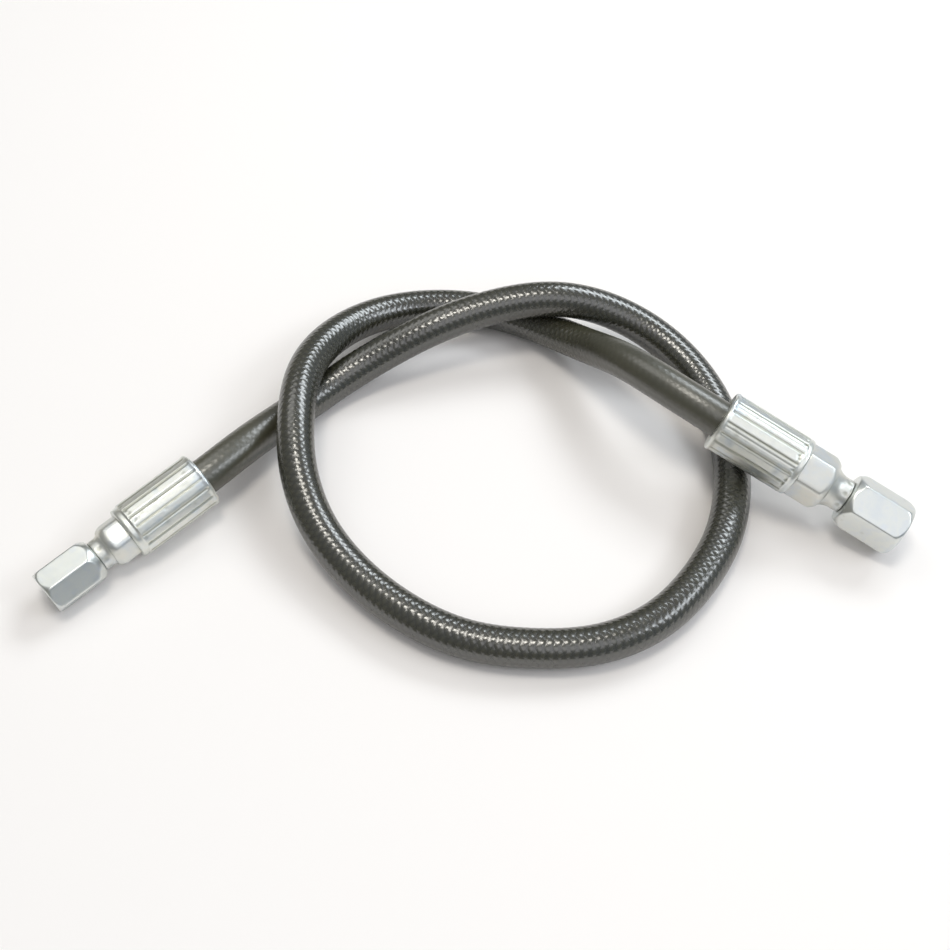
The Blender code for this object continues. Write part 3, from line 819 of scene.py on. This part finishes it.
def make_nut(fitting, material):
    """Swivel nut: tapered rear, rounded hexagon, chamfered front and a threaded bore."""
    corner = fitting.nut_af / math.sqrt(3)
    rear, front = fitting.nut_rear, fitting.nut_front
    taper = math.tan(NUT_TAPER)
    lip = fitting.groove_radius + SWIVEL_PLAY
    mouth = fitting.major_radius + MOUTH_MARGIN
    corners = [
        (lip, rear),
        (fitting.rear_radius, rear),
        (corner, rear + (corner - fitting.rear_radius) / taper),
        (corner, front - fitting.round_off * 1.5),
        (corner - fitting.round_off, front),
        (mouth, front),
        (fitting.minor_radius, front - MOUTH_CHAMFER),
        (fitting.minor_radius, fitting.lip_end),
        (lip, fitting.lip_end),
    ]
    outline = subdivided(filleted(corners, NUT_FILLETS), NUT_STEP)
    angles = hex_angles(fitting.nut_turn)
    bar = hex_radius(angles, fitting.nut_af, fitting.nut_turn, NUT_SOFTNESS)
    z = outline[:, 1]
    is_outer = outline[:, 0] > mouth + 0.05 * MM
    is_outer |= (z < rear + 0.5 * MM) & (outline[:, 0] > lip + 0.5 * MM)
    trimmed = soft_min(outline[:, 0:1], bar[None, :], NUT_SOFTNESS)
    radii = np.where(is_outer[:, None], trimmed, outline[:, 0:1])
    threaded = (~is_outer) & (z > fitting.lip_end + THREAD_RELIEF)
    threaded &= outline[:, 0] < mouth - MOUTH_MARGIN / 2
    phase = z[:, None] / fitting.thread_pitch - angles[None, :] / math.tau
    groove = np.abs((phase % 1.0) * 2.0 - 1.0)
    depth = (fitting.major_radius - fitting.minor_radius) * groove
    radii = np.where(threaded[:, None], np.maximum(radii, fitting.minor_radius + depth), radii)
    places = turned_grid(outline, angles, radii)
    push = dents(places, fitting, rear, front, fitting.nut_af / 2, **NUT_DENTS)
    push = push * is_outer[:, None]
    places = turned_grid(outline, angles, radii - push)
    mesh = grid_mesh("nut_" + fitting.side, places, close_rows=True)
    turn_faces_out(mesh)
    # The dents and thread grooves are marked here for painted shade in the material.
    crease_and_shade = np.clip(push / (0.2 * MM), 0, 1) + threaded[:, None] * (0.5 * groove)
    store_values(mesh, "crease_and_shade", np.clip(crease_and_shade, 0, 1))
    return place_piece(mesh, "hex_nut_" + fitting.side, fitting, material)


# ---- camera, lamps and floor ----

def make_camera():
    """Camera of the photograph: 55 degrees above the floor, looking along +Y."""
    data = bpy.data.cameras.new("camera")
    data.sensor_width = 36.0
    data.lens = CAMERA_LENS
    data.clip_start = 0.01
    camera = bpy.data.objects.new("camera", data)
    camera.location = CAMERA_PLACE
    camera.rotation_euler = (CAMERA_TILT, 0, 0)
    bpy.context.scene.collection.objects.link(camera)
    bpy.context.scene.camera = camera


def area_light(name, place, size, power, colour):
    """Soft light aimed at the middle of the hose."""
    data = bpy.data.lights.new(name, "AREA")
    data.shape = "RECTANGLE"
    data.size, data.size_y = size
    data.energy = power
    data.color = colour
    lamp = bpy.data.objects.new(name, data)
    lamp.location = place
    aim = LIGHT_TARGET - Vector(place)
    lamp.rotation_euler = aim.to_track_quat("-Z", "Y").to_euler()
    bpy.context.scene.collection.objects.link(lamp)


def make_world():
    """Dim room: cool on the bright side, warm and darker on the left, pale overhead."""
    world = bpy.data.worlds.new("dim_room")
    world.use_nodes = True
    tree = world.node_tree
    place = add_node(tree, "ShaderNodeTexCoord").outputs["Generated"]
    split = add_node(tree, "ShaderNodeSeparateXYZ")
    tree.links.new(place, split.inputs[0])
    sideways = map_range(tree, split.outputs["X"], -0.9, 0.9, 0.0, 1.0)
    round_about = ramp(tree, sideways, [
        (0.15, (0.25, 0.245, 0.21)),
        (0.50, (0.20, 0.205, 0.195)),
        (0.85, (0.28, 0.32, 0.36)),
    ])
    height = map_range(tree, split.outputs["Z"], 0.1, 0.9, 0.0, 1.0)
    colour = mix_colour(tree, height, round_about, (0.34, 0.35, 0.36))
    tree.links.new(colour, tree.nodes["Background"].inputs["Color"])
    bpy.context.scene.world = world


def make_floor():
    """Pale floor that looks nearly white but throws less light up onto the object."""
    mesh = bpy.data.meshes.new("floor")
    shape = bmesh.new()
    bmesh.ops.create_grid(shape, x_segments=1, y_segments=1, size=FLOOR_REACH)
    shape.to_mesh(mesh)
    shape.free()
    material, tree, shader = new_material("pale_floor")
    light = add_node(tree, "ShaderNodeLightPath")
    seen = arithmetic(tree, "ADD", light.outputs["Is Camera Ray"], light.outputs["Is Glossy Ray"])
    seen = arithmetic(tree, "ADD", seen, light.outputs["Is Transmission Ray"], clamp=True)
    colour = mix_colour(tree, seen, FLOOR_LIT, FLOOR_SEEN)
    tree.links.new(colour, shader.inputs["Base Color"])
    shader.inputs["Roughness"].default_value = 0.9
    shader.inputs["Specular IOR Level"].default_value = 0.0
    mesh.materials.append(material)
    floor = bpy.data.objects.new("floor", mesh)
    floor.location.z = FLOOR_LEVEL
    bpy.context.scene.collection.objects.link(floor)


# ---- the scene ----

make_camera()
for fitting in (FITTING_A, FITTING_B):
    add_stations(fitting)

hose, hose_line = make_hose(hose_material())
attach(hose, "hose_assembly")
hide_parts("hose")

zincs = {name: zinc_material(name, **finish) for name, finish in ZINC_FINISHES.items()}
for fitting in (FITTING_A, FITTING_B):
    side = fitting.side
    ferrule = make_ferrule(fitting, zincs["ferrule_zinc"])
    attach(ferrule, "hose_assembly")
    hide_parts("ferrule_" + side)
    stem = make_stem(fitting, zincs["stem_zinc"])
    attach(stem, "hose_assembly")
    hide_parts("stem_" + side)
    nut = make_nut(fitting, zincs["nut_zinc"])
    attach(nut, fitting.body)
    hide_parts("swivel_nut_" + side)

make_floor()
make_world()
for lamp in LAMPS:
    area_light(*lamp)
bpy.context.scene.view_settings.view_transform = "Standard"
